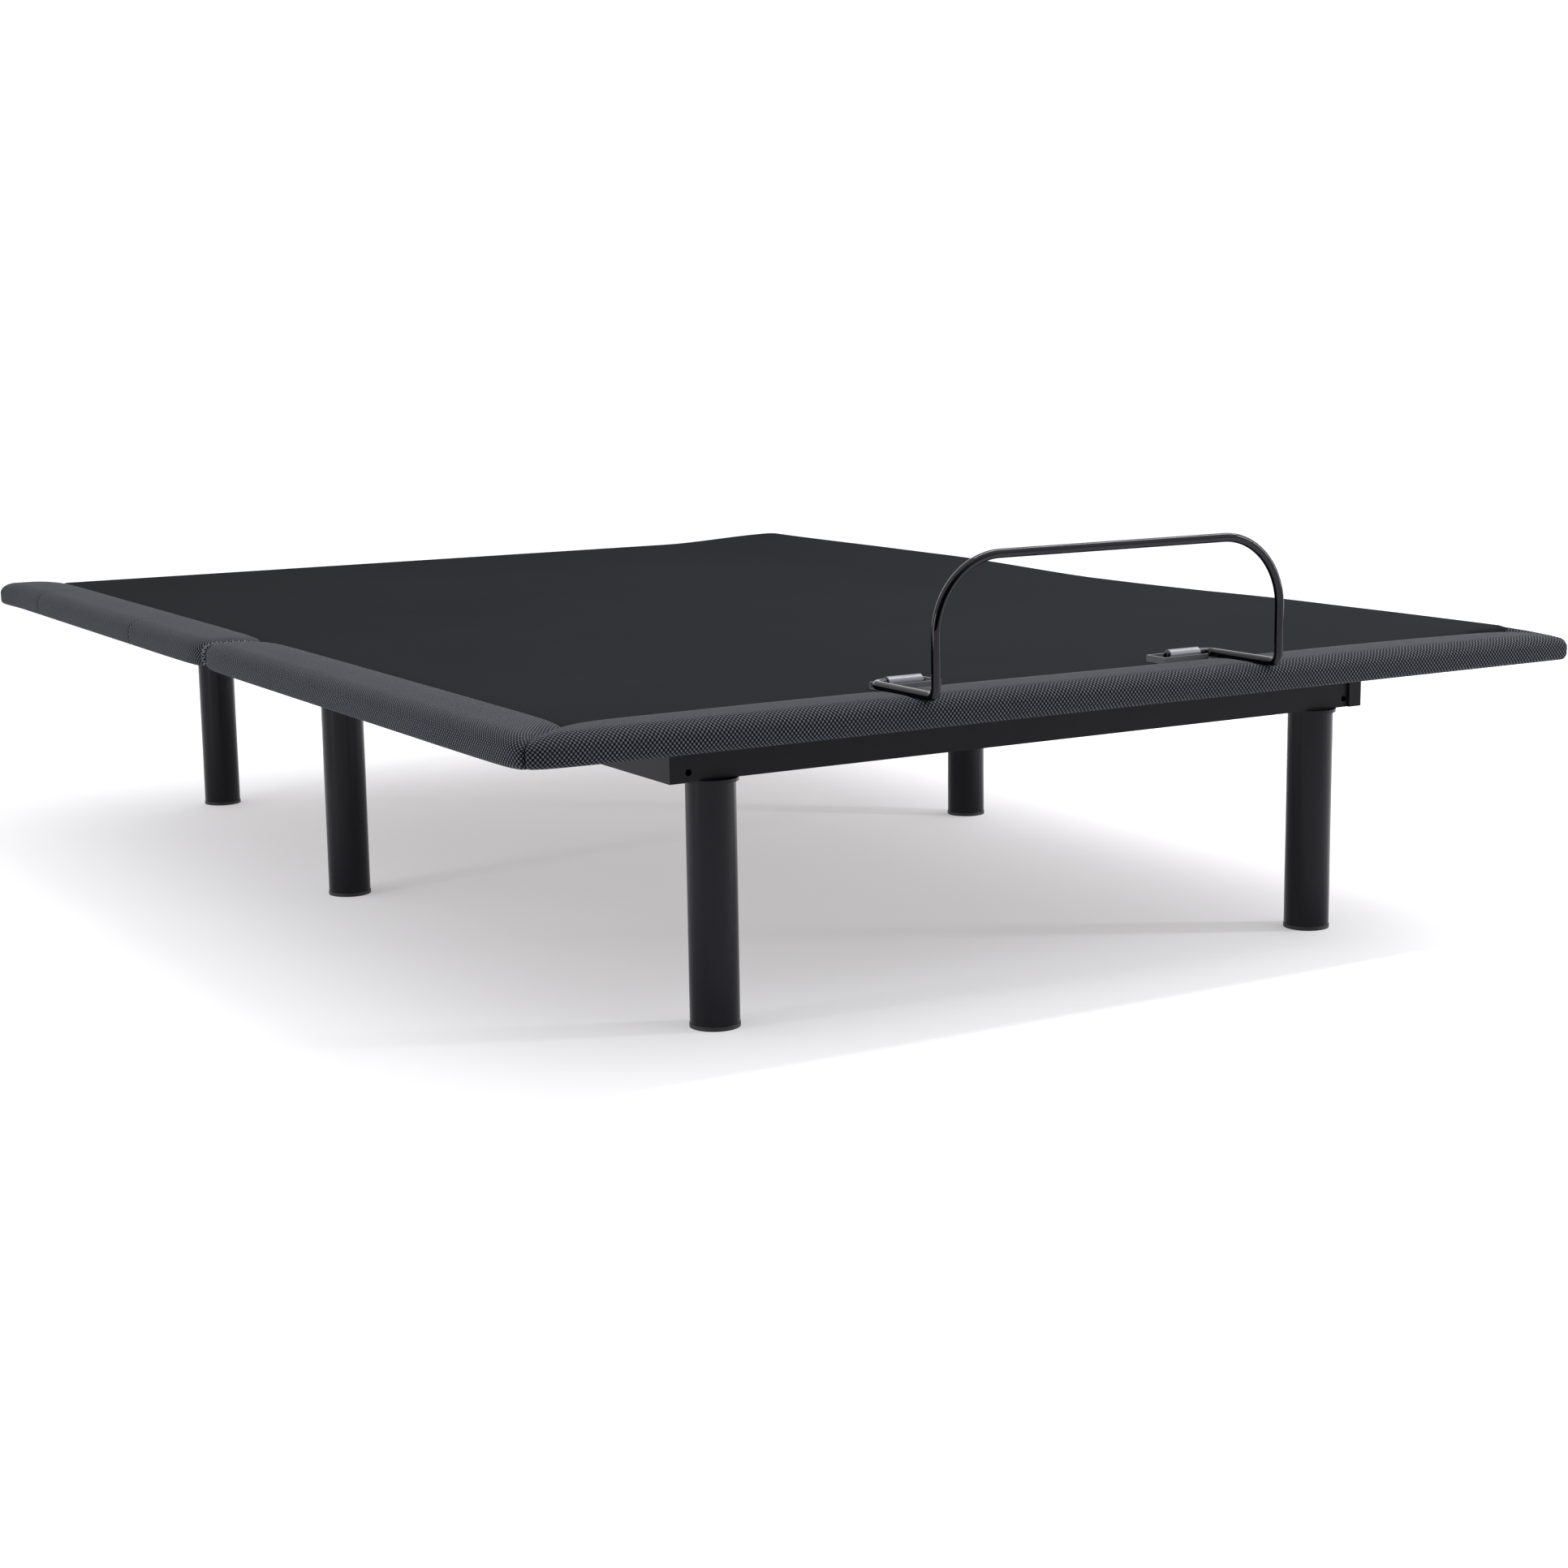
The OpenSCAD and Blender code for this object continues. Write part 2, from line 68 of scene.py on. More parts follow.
SEAM_X = PAD_HI[0]
SEAM_Y = PAD_LO[1]
OUT_X = EDGE_HI[0]
FOOT_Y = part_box("foot_border")[0][1]
HEAD_Y = HEAD_HI[1]
TOP_Z = PAD_HI[2]
CROWN_Z = EDGE_HI[2]
UNDER_Z = EDGE_LO[2]
BOARD_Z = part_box("fixed_board")[1][2]
WIDTH = OUT_X - SEAM_X
SPLIT_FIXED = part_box("fixed_border_right")[1][1]
SPLIT_HEAD = EDGE_LO[1]
FOLD = Vector(next(j for j in frame["joints"] if j["name"] == "retainer_fold")["pos_m"])
BAR_LO, BAR_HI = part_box("retainer_bar")

# ---------- measures chosen for the looks ----------

CLOTH_X = SEAM_X + 0.084  # right end of the deck cloth
CORNER_LEFT = 0.010  # corner radii of the outline
CORNER_RIGHT = 0.011
CROWN_R = 0.0185  # upper and lower radius of the padding's nose
LOW_R = 0.009
ROD_R = 0.0055
ARM_X = BAR_HI[0] - ROD_R
WEAVE_U = 0.0053  # pitches of the holes in the spacer mesh
WEAVE_V = 0.0060
THREAD = 0.0011  # pitch of the deck cloth's threads
CREASE_SHADE_UV = (0.0014, 0.0)  # one point of the weave inside a hole, nearly black: painted shade for the creases where the cover is tucked in


# ---------- node helpers ----------


class Mat:
    """A procedural material under construction."""

    def __init__(self, name, **sockets):
        self.mat = bpy.data.materials.new(name)
        self.mat.use_nodes = True
        self.tree = self.mat.node_tree
        self.bsdf = self.tree.nodes["Principled BSDF"]
        for key, value in sockets.items():
            self.bsdf.inputs[key.replace("_", " ")].default_value = value

    def node(self, kind, **inputs):
        """A node with its sockets set or linked. A key that starts with p_ is a property of the node."""
        n = self.tree.nodes.new(kind)
        for key, value in inputs.items():
            if key.startswith("p_"):
                setattr(n, key[2:], value)
            elif isinstance(value, bpy.types.NodeSocket):
                self.tree.links.new(value, n.inputs[key])
            else:
                n.inputs[key].default_value = value
        return n

    def math(self, operation, a, b=0.0):
        n = self.tree.nodes.new("ShaderNodeMath")
        n.operation = operation
        for i, value in enumerate((a, b)):
            if isinstance(value, bpy.types.NodeSocket):
                self.tree.links.new(value, n.inputs[i])
            else:
                n.inputs[i].default_value = value
        return n.outputs[0]

    def coords(self):
        return self.tree.nodes.new("ShaderNodeTexCoord").outputs["Object"]

    def noise(self, vector, scale, detail=4.0, rough=0.55):
        n = self.node("ShaderNodeTexNoise", Vector=vector, Scale=scale, Detail=detail, Roughness=rough)
        return n.outputs["Fac"]

    def ramp(self, fac, stops):
        n = self.tree.nodes.new("ShaderNodeValToRGB")
        self.tree.links.new(fac, n.inputs["Fac"])
        ramp = n.color_ramp
        while len(ramp.elements) < len(stops):
            ramp.elements.new(0.5)
        for element, (pos, colour) in zip(ramp.elements, stops):
            element.position = pos
            element.color = (*colour, 1.0)
        return n.outputs["Color"]

    def mix(self, fac, a, b):
        n = self.tree.nodes.new("ShaderNodeMix")
        n.data_type = "RGBA"
        for socket, value in ((n.inputs[0], fac), (n.inputs[6], a), (n.inputs[7], b)):
            if isinstance(value, bpy.types.NodeSocket):
                self.tree.links.new(value, socket)
            else:
                socket.default_value = (*value, 1.0) if isinstance(value, tuple) else value
        return n.outputs[2]

    def colour(self, socket):
        self.tree.links.new(socket, self.bsdf.inputs["Base Color"])

    def rough(self, fac, low, high):
        n = self.node("ShaderNodeMapRange", Value=fac)
        n.inputs["To Min"].default_value = low
        n.inputs["To Max"].default_value = high
        self.tree.links.new(n.outputs[0], self.bsdf.inputs["Roughness"])

    def bump(self, *layers):
        """layers are (height socket, strength, distance); they stack."""
        normal = None
        for height, strength, distance in layers:
            n = self.node("ShaderNodeBump", Height=height, Strength=strength, Distance=distance)
            if normal is not None:
                self.tree.links.new(normal, n.inputs["Normal"])
            normal = n.outputs["Normal"]
        self.tree.links.new(normal, self.bsdf.inputs["Normal"])


def staggered_holes(m):
    """Distance field of a staggered lattice of oval holes: 0 at a hole's middle, about 1 between them."""
    uv = m.node("ShaderNodeUVMap", p_uv_map="Weave").outputs[0]
    split = m.node("ShaderNodeSeparateXYZ", Vector=uv)
    u = m.math("DIVIDE", split.outputs[0], WEAVE_U)
    v = m.math("DIVIDE", split.outputs[1], WEAVE_V)
    fields = []
    for shift in (0.0, 0.5):
        a = m.math("PINGPONG", m.math("ADD", u, shift), 0.5)
        b = m.math("PINGPONG", m.math("ADD", v, shift), 0.5)
        a2 = m.math("MULTIPLY", a, a)
        b2 = m.math("MULTIPLY", b, b)
        fields.append(m.math("SQRT", m.math("ADD", a2, b2)))
    return m.math("MULTIPLY", m.math("MINIMUM", *fields), 2.0)


def mat_edge_mesh():
    m = Mat("edge_mesh", Roughness=0.66, Sheen_Weight=0.02, Sheen_Roughness=0.4, Specular_IOR_Level=0.06)
    m.bsdf.inputs["Sheen Tint"].default_value = (0.62, 0.68, 0.8, 1.0)
    field = staggered_holes(m)
    co = m.coords()
    tone = m.noise(co, 9.0, 3.0)
    fibre = m.noise(co, 900.0, 2.0)
    yarn = m.mix(tone, (0.086, 0.090, 0.117), (0.129, 0.134, 0.168))
    yarn = m.mix(m.math("MULTIPLY", fibre, 0.5), yarn, (0.18, 0.185, 0.21))
    hole = m.node("ShaderNodeMapRange", Value=field, p_interpolation_type="SMOOTHSTEP")
    hole.inputs["From Min"].default_value = 0.52
    hole.inputs["From Max"].default_value = 0.80
    m.colour(m.mix(hole.outputs[0], (0.0035, 0.0037, 0.0055), yarn))
    m.bump((hole.outputs[0], 1.0, 0.0011), (fibre, 0.3, 0.0002))
    return m.mat


def mat_deck_fabric():
    m = Mat("deck_fabric", Roughness=0.85, Specular_IOR_Level=0.0)
    co = m.coords()
    split = m.node("ShaderNodeSeparateXYZ", Vector=co)
    warp = m.math("SINE", m.math("MULTIPLY", split.outputs[0], 2 * math.pi / THREAD))
    weft = m.math("SINE", m.math("MULTIPLY", split.outputs[1], 2 * math.pi / THREAD))
    weave = m.math("MULTIPLY", warp, weft)
    cloud = m.noise(co, 2.6, 5.0, 0.6)
    lint = m.noise(co, 420.0, 3.0)
    base = m.mix(cloud, (0.0145, 0.0158, 0.0172), (0.0185, 0.0202, 0.0216))
    m.colour(m.mix(m.math("MULTIPLY", lint, 0.3), base, (0.026, 0.028, 0.030)))
    m.rough(cloud, 0.78, 0.9)
    m.bump((cloud, 0.12, 0.004), (weave, 0.25, 0.00012), (lint, 0.2, 0.0001))
    return m.mat


def mat_powder(name, base, rough, grain, gloss):
    m = Mat(name, Specular_IOR_Level=gloss)
    co = m.coords()
    tone = m.noise(co, 14.0, 4.0)
    peel = m.noise(co, grain, 2.0)
    m.colour(m.mix(tone, tuple(c * 0.82 for c in base), tuple(c * 1.18 for c in base)))
    m.rough(m.noise(co, 30.0, 3.0), rough - 0.04, rough + 0.05)
    m.bump((peel, 0.10, 0.00012))
    return m.mat


def mat_metal(name, base, low, high, stretch=(1.0, 1.0, 1.0), scale=220.0, metallic=1.0):
    m = Mat(name, Metallic=metallic)
    co = m.coords()
    mapping = m.node("ShaderNodeMapping", Vector=co)
    mapping.inputs["Scale"].default_value = stretch
    brush = m.noise(mapping.outputs[0], scale, 3.0)
    tone = m.noise(co, 25.0, 4.0)
    m.colour(m.mix(tone, tuple(c * 0.88 for c in base), tuple(min(1, c * 1.1) for c in base)))
    m.rough(brush, low, high)
    m.bump((brush, 0.05, 0.00006))
    return m.mat


def mat_plastic(name, base, rough=0.5, grain=1400.0):
    m = Mat(name, Specular_IOR_Level=0.45)
    co = m.coords()
    tone = m.noise(co, 18.0, 3.0)
    pit = m.noise(co, grain, 2.0)
    m.colour(m.mix(tone, tuple(c * 0.88 for c in base), tuple(c * 1.12 for c in base)))
    m.rough(tone, rough - 0.05, rough + 0.07)
    m.bump((pit, 0.2, 0.00015))
    return m.mat


def mat_circuit_board():
    m = Mat("circuit_board", Roughness=0.35, Specular_IOR_Level=0.5)
    co = m.coords()
    split = m.node("ShaderNodeSeparateXYZ", Vector=co)
    along = m.math("PINGPONG", m.math("DIVIDE", split.outputs[0], 0.0034), 0.5)
    wander = m.noise(co, 60.0, 1.0)
    track = m.node("ShaderNodeMapRange", Value=m.math("ADD", along, m.math("MULTIPLY", wander, 0.3)))
    track.inputs["From Min"].default_value = 0.40
    track.inputs["From Max"].default_value = 0.46
    m.colour(m.mix(track.outputs[0], (0.015, 0.10, 0.04), (0.05, 0.22, 0.09)))
    m.bump((track.outputs[0], 0.3, 0.00008))
    return m.mat


def mat_plywood():
    """Board faced with a dark film: ply lines show on the edges, a faint grain on the faces."""
    m = Mat("plywood", Roughness=0.5, Specular_IOR_Level=0.35)
    co = m.coords()
    mapping = m.node("ShaderNodeMapping", Vector=co)
    mapping.inputs["Scale"].default_value = (3.0, 0.4, 3.0)
    rings = m.node("ShaderNodeTexWave", Vector=mapping.outputs[0], Scale=0.9, Distortion=16.0, Detail=4.0)
    pores = m.node("ShaderNodeMapping", Vector=co)
    pores.inputs["Scale"].default_value = (260.0, 14.0, 60.0)
    pore = m.noise(pores.outputs[0], 4.0, 3.0)
    split = m.node("ShaderNodeSeparateXYZ", Vector=co)
    ply = m.math("PINGPONG", m.math("DIVIDE", split.outputs[2], 0.0026), 0.5)
    face = m.ramp(rings.outputs["Fac"], [
        (0.1, (0.175, 0.14, 0.112)), (0.6, (0.20, 0.162, 0.13)), (0.95, (0.215, 0.178, 0.143)),
    ])
    face = m.mix(m.math("MULTIPLY", pore, 0.35), face, (0.10, 0.075, 0.055))
    m.colour(m.mix(m.math("MULTIPLY", ply, 0.5), face, (0.13, 0.095, 0.07)))
    m.bump((pore, 0.25, 0.0003))
    return m.mat


MATS = {
    "edge_mesh": mat_edge_mesh(),
    "deck_fabric": mat_deck_fabric(),
    "leg_paint": mat_powder("leg_paint", (0.0062, 0.0060, 0.0092), 0.22, 520.0, 0.15),
    "frame_paint": mat_powder("frame_paint", (0.0085, 0.0078, 0.0092), 0.30, 700.0, 0.09),
    "dark_chrome": mat_metal("dark_chrome", (0.027, 0.026, 0.029), 0.04, 0.07, scale=300.0),
    "zinc": mat_metal("zinc", (0.175, 0.178, 0.20), 0.38, 0.50, stretch=(0.2, 1.0, 1.0), metallic=0.55),
    "rod_steel": mat_metal("rod_steel", (0.62, 0.62, 0.64), 0.14, 0.25, stretch=(1.0, 0.1, 1.0)),
    "tube_aluminium": mat_metal("tube_aluminium", (0.24, 0.24, 0.25), 0.32, 0.46, stretch=(1.0, 0.05, 1.0)),
    "housing_plastic": mat_plastic("housing_plastic", (0.020, 0.020, 0.023), 0.45),
    "glide_plastic": mat_plastic("glide_plastic", (0.012, 0.012, 0.014), 0.5),
    "button_plastic": mat_plastic("button_plastic", (0.42, 0.42, 0.44), 0.42),
    "rubber": mat_plastic("rubber", (0.014, 0.014, 0.014), 0.75, grain=600.0),
    "circuit_board": mat_circuit_board(),
    "board": mat_plywood(),
    "thread": mat_plastic("thread", (0.16, 0.165, 0.19), 0.7, grain=2500.0),
}

# ---------- mesh helpers ----------


def smoothstep(a, b, x):
    t = min(1.0, max(0.0, (x - a) / (b - a)))
    return t * t * (3 - 2 * t)


def link(name, verts, faces, material, uvs=None):
    """A mesh object from points and faces; uvs is one (u, v) in metres for each corner of each face."""
    mesh = bpy.data.meshes.new(name)
    mesh.from_pydata([tuple(v) for v in verts], [], faces)
    mesh.materials.append(MATS[material])
    if uvs:
        layer = mesh.uv_layers.new(name="Weave")
        for loop, uv in zip(layer.data, (c for face in uvs for c in face)):
            loop.uv = uv
    for poly in mesh.polygons:
        poly.use_smooth = True
    mesh.update()
    obj = bpy.data.objects.new(name, mesh)
    bpy.context.scene.collection.objects.link(obj)
    return obj


def grid(points, closed=False):
    """Vertices, faces and UVs of a grid of rows of points. closed joins each row's end to its start.

    The UVs are lengths in metres: along the rows from the middle one, and round the middle row.
    """
    rows, cols = len(points), len(points[0])
    verts = [p for row in points for p in row]
    girth = [0.0]
    middle = points[rows // 2]
    for i in range(1, cols + (1 if closed else 0)):
        girth.append(girth[-1] + (Vector(middle[i % cols]) - Vector(middle[i - 1])).length)
    along = [0.0] * len(verts)
    for r in [*range(rows // 2 + 1, rows), *range(rows // 2 - 1, -1, -1)]:
        step = 1 if r > rows // 2 else -1
        for c in range(cols):
            i, j = r * cols + c, (r - step) * cols + c
            along[i] = along[j] + step * (Vector(verts[i]) - Vector(verts[j])).length
    faces, uvs = [], []
    for r in range(rows - 1):
        for c in range(cols if closed else cols - 1):
            c1 = (c + 1) % cols
            face = (r * cols + c, r * cols + c1, (r + 1) * cols + c1, (r + 1) * cols + c)
            faces.append(face)
            uvs.append([(along[i], girth[c if i % cols == c else c + 1]) for i in face])
    return verts, faces, uvs


def tube(name, path, radius, material, sides):
    """A round rod along a path of points, with domed ends."""
    path = [Vector(p) for p in path]
    rings = []
    tangent = (path[1] - path[0]).normalized()
    side = tangent.orthogonal().normalized()
    for i, p in enumerate(path):
        here = (path[min(i + 1, len(path) - 1)] - path[max(i - 1, 0)]).normalized()
        side = (side - here * side.dot(here)).normalized()
        up = here.cross(side)
        rings.append([
            p + side * radius * math.cos(a) + up * radius * math.sin(a)
            for a in (2 * math.pi * k / sides for k in range(sides))
        ])
    for end, out in ((0, path[0] - path[1]), (-1, path[-1] - path[-2])):
        out = out.normalized() * radius
        for shrink, push in ((0.86, 0.30), (0.5 / 0.86, 0.12)):
            ring = [path[end] + (v - path[end]) * shrink + out * push for v in rings[end]]
            rings.insert(0 if end == 0 else len(rings), ring)
    verts = [v for ring in rings for v in ring]
    faces = []
    for r in range(len(rings) - 1):
        for k in range(sides):
            k1 = (k + 1) % sides
            faces.append((r * sides + k, r * sides + k1, (r + 1) * sides + k1, (r + 1) * sides + k))
    faces.append(tuple(reversed(range(sides))))
    faces.append(tuple(range((len(rings) - 1) * sides, len(rings) * sides)))
    return link(name, verts, faces, material)


def quarter(centre, a, b, steps):
    """Points on a quarter circle from radius vector a to radius vector b."""
    out = []
    for i in range(steps + 1):
        t = math.radians(90 * i / steps)
        out.append(Vector(centre) + Vector(a) * math.cos(t) + Vector(b) * math.sin(t))
    return out


# ---------- padded edge ----------


def section():
    """Section of the padded edge as (distance out from the seam, height).

    It starts at the seam, goes over the crown and round the nose, and ends back under the board.
    """
    w = WIDTH
    pts = [(-0.004, TOP_Z - 0.0042), (0.0, TOP_Z - 0.0016), (0.003, TOP_Z + 0.0008)]
    shares = (0.07, 0.12, 0.17, 0.23, 0.30, 0.38, 0.46, 0.54, 0.62, 0.69)
    pts += [(w * t, TOP_Z + 0.0008 + rise(w * t)) for t in shares]
    for k in range(0, 10):
        a = math.radians(90 - 90 * k / 9)
        deep = CROWN_R * 1.35
        pts.append((w - deep + deep * math.cos(a), CROWN_Z - CROWN_R + CROWN_R * math.sin(a)))
    for k in range(1, 8):
        a = math.radians(-90 * k / 7)
        pts.append((w - LOW_R + LOW_R * math.cos(a), UNDER_Z + LOW_R + LOW_R * math.sin(a) - 0.0008))
    for d in (0.82, 0.72, 0.62, 0.52, 0.44):
        pts.append((w * d, UNDER_Z + 0.0003))
    return pts


def rise(d):
    """Height of the padding over the deck cloth at a distance out from the seam."""
    return (CROWN_Z - TOP_Z - 0.0008) * math.sin(min(1.0, max(0.0, d) / (WIDTH * 0.52)) * math.pi / 2) ** 0.8


def right_crown(y):
    """Share of the full crown along the right edge: it dips at the split and fills out again to both ends."""
    if y < HINGE.y:
        return 1.0 - 0.72 * smoothstep(-0.80, 0.0, y) ** 1.3
    return 0.30 + 0.95 * smoothstep(0.0, 0.42, y) ** 0.8


SECTION = section()
NARROW = [(CLOTH_X - SEAM_X - 0.004, CROWN_Z - 0.0052), (CLOTH_X - SEAM_X - 0.0012, CROWN_Z - 0.0018)]
NARROW += [p for p in SECTION if p[0] > CLOTH_X - SEAM_X + 0.0008 or p[1] < UNDER_Z + 0.004]
CORE = (WIDTH * 0.62, (CROWN_Z + UNDER_Z) / 2)


def corner_inset(along, radius):
    """How far a rounded outline is drawn in at that distance from its corner."""
    if along >= radius:
        return 0.0
    along = max(along, radius * (1 - math.sqrt(0.5)))
    return radius - math.sqrt(max(0.0, radius ** 2 - (radius - along) ** 2))


def swell(d, z, mitre=None, split=None, head=None, place=0.0):
    """One point of the section, drawn in by the mitre seam, the split and the head end.

    mitre, split and head are the distances to them; place shifts the puckers along the seam.
    """
    cx, cz = CORE
    pull, pucker = 0.0, 0.0
    if mitre is not None:
        pull += 0.42 * math.exp(-mitre / 0.010) + 0.08 * math.exp(-mitre / 0.06)
        pucker = math.exp(-mitre / 0.034) * math.sin(place * 74.0) * 0.0011
        pucker += math.exp(-mitre / 0.022) * math.sin(place * 150.0 + 1.0) * 0.0005
        pucker *= 1 - math.exp(-mitre / 0.010)
    if split is not None:
        pull += 0.46 * math.exp(-split / 0.011) + 0.12 * math.exp(-split / 0.055)
    if head is not None:
        pull += 0.05 * math.exp(-head / 0.005)
    outer = smoothstep(0.0, 0.45, d / WIDTH)
    low = smoothstep(BOARD_Z - 0.012, BOARD_Z + 0.004, z)
    dd = d - (d - cx) * pull * outer * 0.8 if d > cx else d
    zz = z - (z - cz) * pull * (0.35 + 0.65 * low) * (1.0 if z > cz else 0.35)
    zz += pucker * outer
    if split is not None and d < 0.25 * WIDTH:
        dd += 0.012 * math.exp(-split / 0.016)
    return dd, max(zz, UNDER_Z - 0.0008)


def stations(a, b, spots, growth=0.16):
    """Positions from a to b as shares of the way, close together near the spots."""
    fine, coarse = 0.0012, 0.011
    x, out = a, [0.0]
    while True:
        x += min(coarse, min(fine + growth * abs(x - s) for s in spots))
        if x >= b - fine * 0.6:
            return out + [1.0]
        out.append((x - a) / (b - a))


def undulate(x, y, z, scale=0.0011):
    """A slow unevenness of foam that was covered by hand."""
    return noise.noise(Vector((x * 4.2, y * 4.2, z * 6.0))) * scale


def cap_rows(rows):
    """Closes both ends of an edge piece with a shallow dome."""
    for index, step in ((0, 1), (-1, -1)):
        row = rows[index]
        centre = sum(row, Vector()) / len(row)
        out = (sum(row, Vector()) - sum(rows[index + step], Vector())).normalized()
        dome = ((0.12, 0.0007), (0.5, 0.001), (0.985, 0.0011))
        extra = [[p.lerp(centre, k) + out * lift for p in row] for k, lift in dome]
        rows = extra[::-1] + rows if index == 0 else rows + extra
    return rows


def close_ends(obj):
    """Fills the open ends of a tube of faces and makes the normals agree."""
    bm = bmesh.new()
    bm.from_mesh(obj.data)
    bmesh.ops.holes_fill(bm, edges=[e for e in bm.edges if e.is_boundary], sides=0)
    bmesh.ops.recalc_face_normals(bm, faces=bm.faces)
    bm.to_mesh(obj.data)
    bm.free()
    for poly in obj.data.polygons:
        poly.use_smooth = True


def edge_piece(name, node, rows, body, open_end=False):
    """One edge cover. Its tucked-in ends get one near-black point of the weave, painted shade for the creases
    there; open_end keeps the weave on the last one.
    """
    verts, faces, uvs = grid(cap_rows(rows), closed=True)
    shaded_end_faces = 3 * len(rows[0])
    # painted shade: the end faces all take one near-black point of the weave, for the dark creases where the cover
    # is tucked in
    uvs[:shaded_end_faces] = [[CREASE_SHADE_UV] * 4] * shaded_end_faces
    if not open_end:
        uvs[-shaded_end_faces:] = [[CREASE_SHADE_UV] * 4] * shaded_end_faces
    obj = link(name, verts, faces, "edge_mesh", uvs)
    close_ends(obj)
    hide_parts(node)
    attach(obj, body)
    return obj


def relief(x, y, z):
    """Unevenness of one point of a cover, as (sideways, up)."""
    return undulate(y, x, z + 3.0, 0.0012), undulate(x, y, z)


def head_side(name, node, sign, cross_seams):
    rows = []
    spots = [SPLIT_HEAD, HEAD_Y, *cross_seams]
    for t in stations(SPLIT_HEAD, HEAD_Y, spots):
        y = SPLIT_HEAD + (HEAD_Y - SPLIT_HEAD) * t
        row = []
        for d, z in SECTION if sign < 0 else NARROW:
            dd, zz = swell(d, z, split=y - SPLIT_HEAD, head=HEAD_Y - y)
            for seam in cross_seams:
                dip = 0.045 * math.exp(-abs(y - seam) / 0.003)
                dd -= (d - CORE[0]) * dip * (d > CORE[0])
                zz -= (z - CORE[1]) * dip * (z > CORE[1])
            flare = 0.004 * smoothstep(0.12, 0.01, HEAD_Y - y) - corner_inset(HEAD_Y - y, 0.009)
            dd += flare * smoothstep(0.5, 1.0, d / WIDTH)
            if sign > 0:
                zz += (right_crown(y) - 1) * 0.008 * smoothstep(BOARD_Z, CROWN_Z, z)
            else:
                zz -= 0.13 * math.exp(-(HEAD_Y - y) / 0.05) * max(0.0, zz - CORE[1] + 0.006)
            side, up = relief(sign * d, y, z)
            soft = smoothstep(0.05, 0.2, d / WIDTH) * smoothstep(UNDER_Z, UNDER_Z + 0.006, z)
            row.append(Vector((sign * (SEAM_X + dd + side * soft), y, zz + up * soft)))
        rows.append(row)
    edge_piece(name, node, rows, "head", open_end=True)


def fixed_side(name, node, sign):
    rows = []
    radius = CORNER_LEFT if sign < 0 else CORNER_RIGHT
    for t in stations(FOOT_Y, SPLIT_FIXED, [FOOT_Y, SPLIT_FIXED]):
        row = []
        for d, z in SECTION if sign < 0 else NARROW:
            y0 = SEAM_Y - d
            y = y0 + (SPLIT_FIXED - y0) * t
            from_mitre = (y - y0) * 0.75
            mitre = from_mitre if sign < 0 else None
            dd, zz = swell(d, z, mitre=mitre, split=SPLIT_FIXED - y, place=d + z * 0.7)
            inset = corner_inset(y - FOOT_Y, radius) * smoothstep(0.45, 1.0, d / WIDTH)
            dd -= inset
            y = SEAM_Y - dd if t == 0.0 else y + (d - dd) * math.exp(-from_mitre / 0.010)
            if sign > 0:
                zz += (right_crown(y) - 1) * 0.008 * smoothstep(BOARD_Z, CROWN_Z, z)
                zz -= 0.24 * math.exp(-from_mitre / 0.045) * max(0.0, zz - CORE[1] + 0.006)
            side, up = relief(sign * d, y, z)
            soft = smoothstep(0.05, 0.2, d / WIDTH) * smoothstep(UNDER_Z, UNDER_Z + 0.006, z)
            soft *= smoothstep(0.0, 0.03, from_mitre)
            row.append(Vector((sign * (SEAM_X + dd + side * soft), y, zz + up * soft)))
        rows.append(row)
    edge_piece(name, node, rows, "root")


def foot_side():
    rows = []
    spots = [-OUT_X, OUT_X, -ARM_X, ARM_X]
    floor_of_arm = FOLD.z - ROD_R - 0.0004
    for t in stations(-OUT_X, OUT_X, spots, growth=0.10):
        row = []
        for d, z in SECTION:
            x0, x1 = -(SEAM_X + d), max(SEAM_X + d, CLOTH_X + 0.004)
            x = x0 + (x1 - x0) * t
            left = (x - x0) * 0.75
            right = (x1 - x) * 0.75
            dd, zz = swell(d, z, mitre=left if x < 0 else None, place=d + z * 0.7 + 0.03)
            radius = CORNER_LEFT if x < 0 else CORNER_RIGHT
            inset = corner_inset(OUT_X - abs(x), radius) * smoothstep(0.45, 1.0, d / WIDTH)
            dd -= inset
            if t == 0.0:
                x = -(SEAM_X + dd)
            elif t == 1.0:
                x = max(SEAM_X + dd, CLOTH_X + 0.004)
            else:
                x += (d - dd) * (math.exp(-left / 0.010) - math.exp(-right / 0.010) * (d > CLOTH_X - SEAM_X))
            zz -= 0.24 * math.exp(-right / 0.045) * max(0.0, zz - CORE[1] + 0.006)
            side, up = relief(x, -d, z)
            soft = smoothstep(0.05, 0.2, d / WIDTH) * smoothstep(UNDER_Z, UNDER_Z + 0.006, z)
            soft *= smoothstep(0.0, 0.03, min(left, right))
            zz += up * soft
            press = zz - floor_of_arm
            if press > 0 and z > TOP_Z - 0.003:
                away = max(0.0, abs(abs(x) - ARM_X) - 0.0045)
                zz -= press * math.exp(-(away / 0.010) ** 2)
            row.append(Vector((x, SEAM_Y - dd - side * soft, zz)))
        rows.append(row)
    edge_piece("foot_edge_cover", "foot_border", rows, "root")


fixed_side("edge_cover_left", "fixed_border_left", -1)
fixed_side("edge_cover_right", "fixed_border_right", 1)
head_side("head_edge_cover_left", "head_border_left", -1, (0.32, 0.81))
head_side("head_edge_cover_right", "head_border_right", 1, ())
foot_side()

# ---------- deck cover ----------


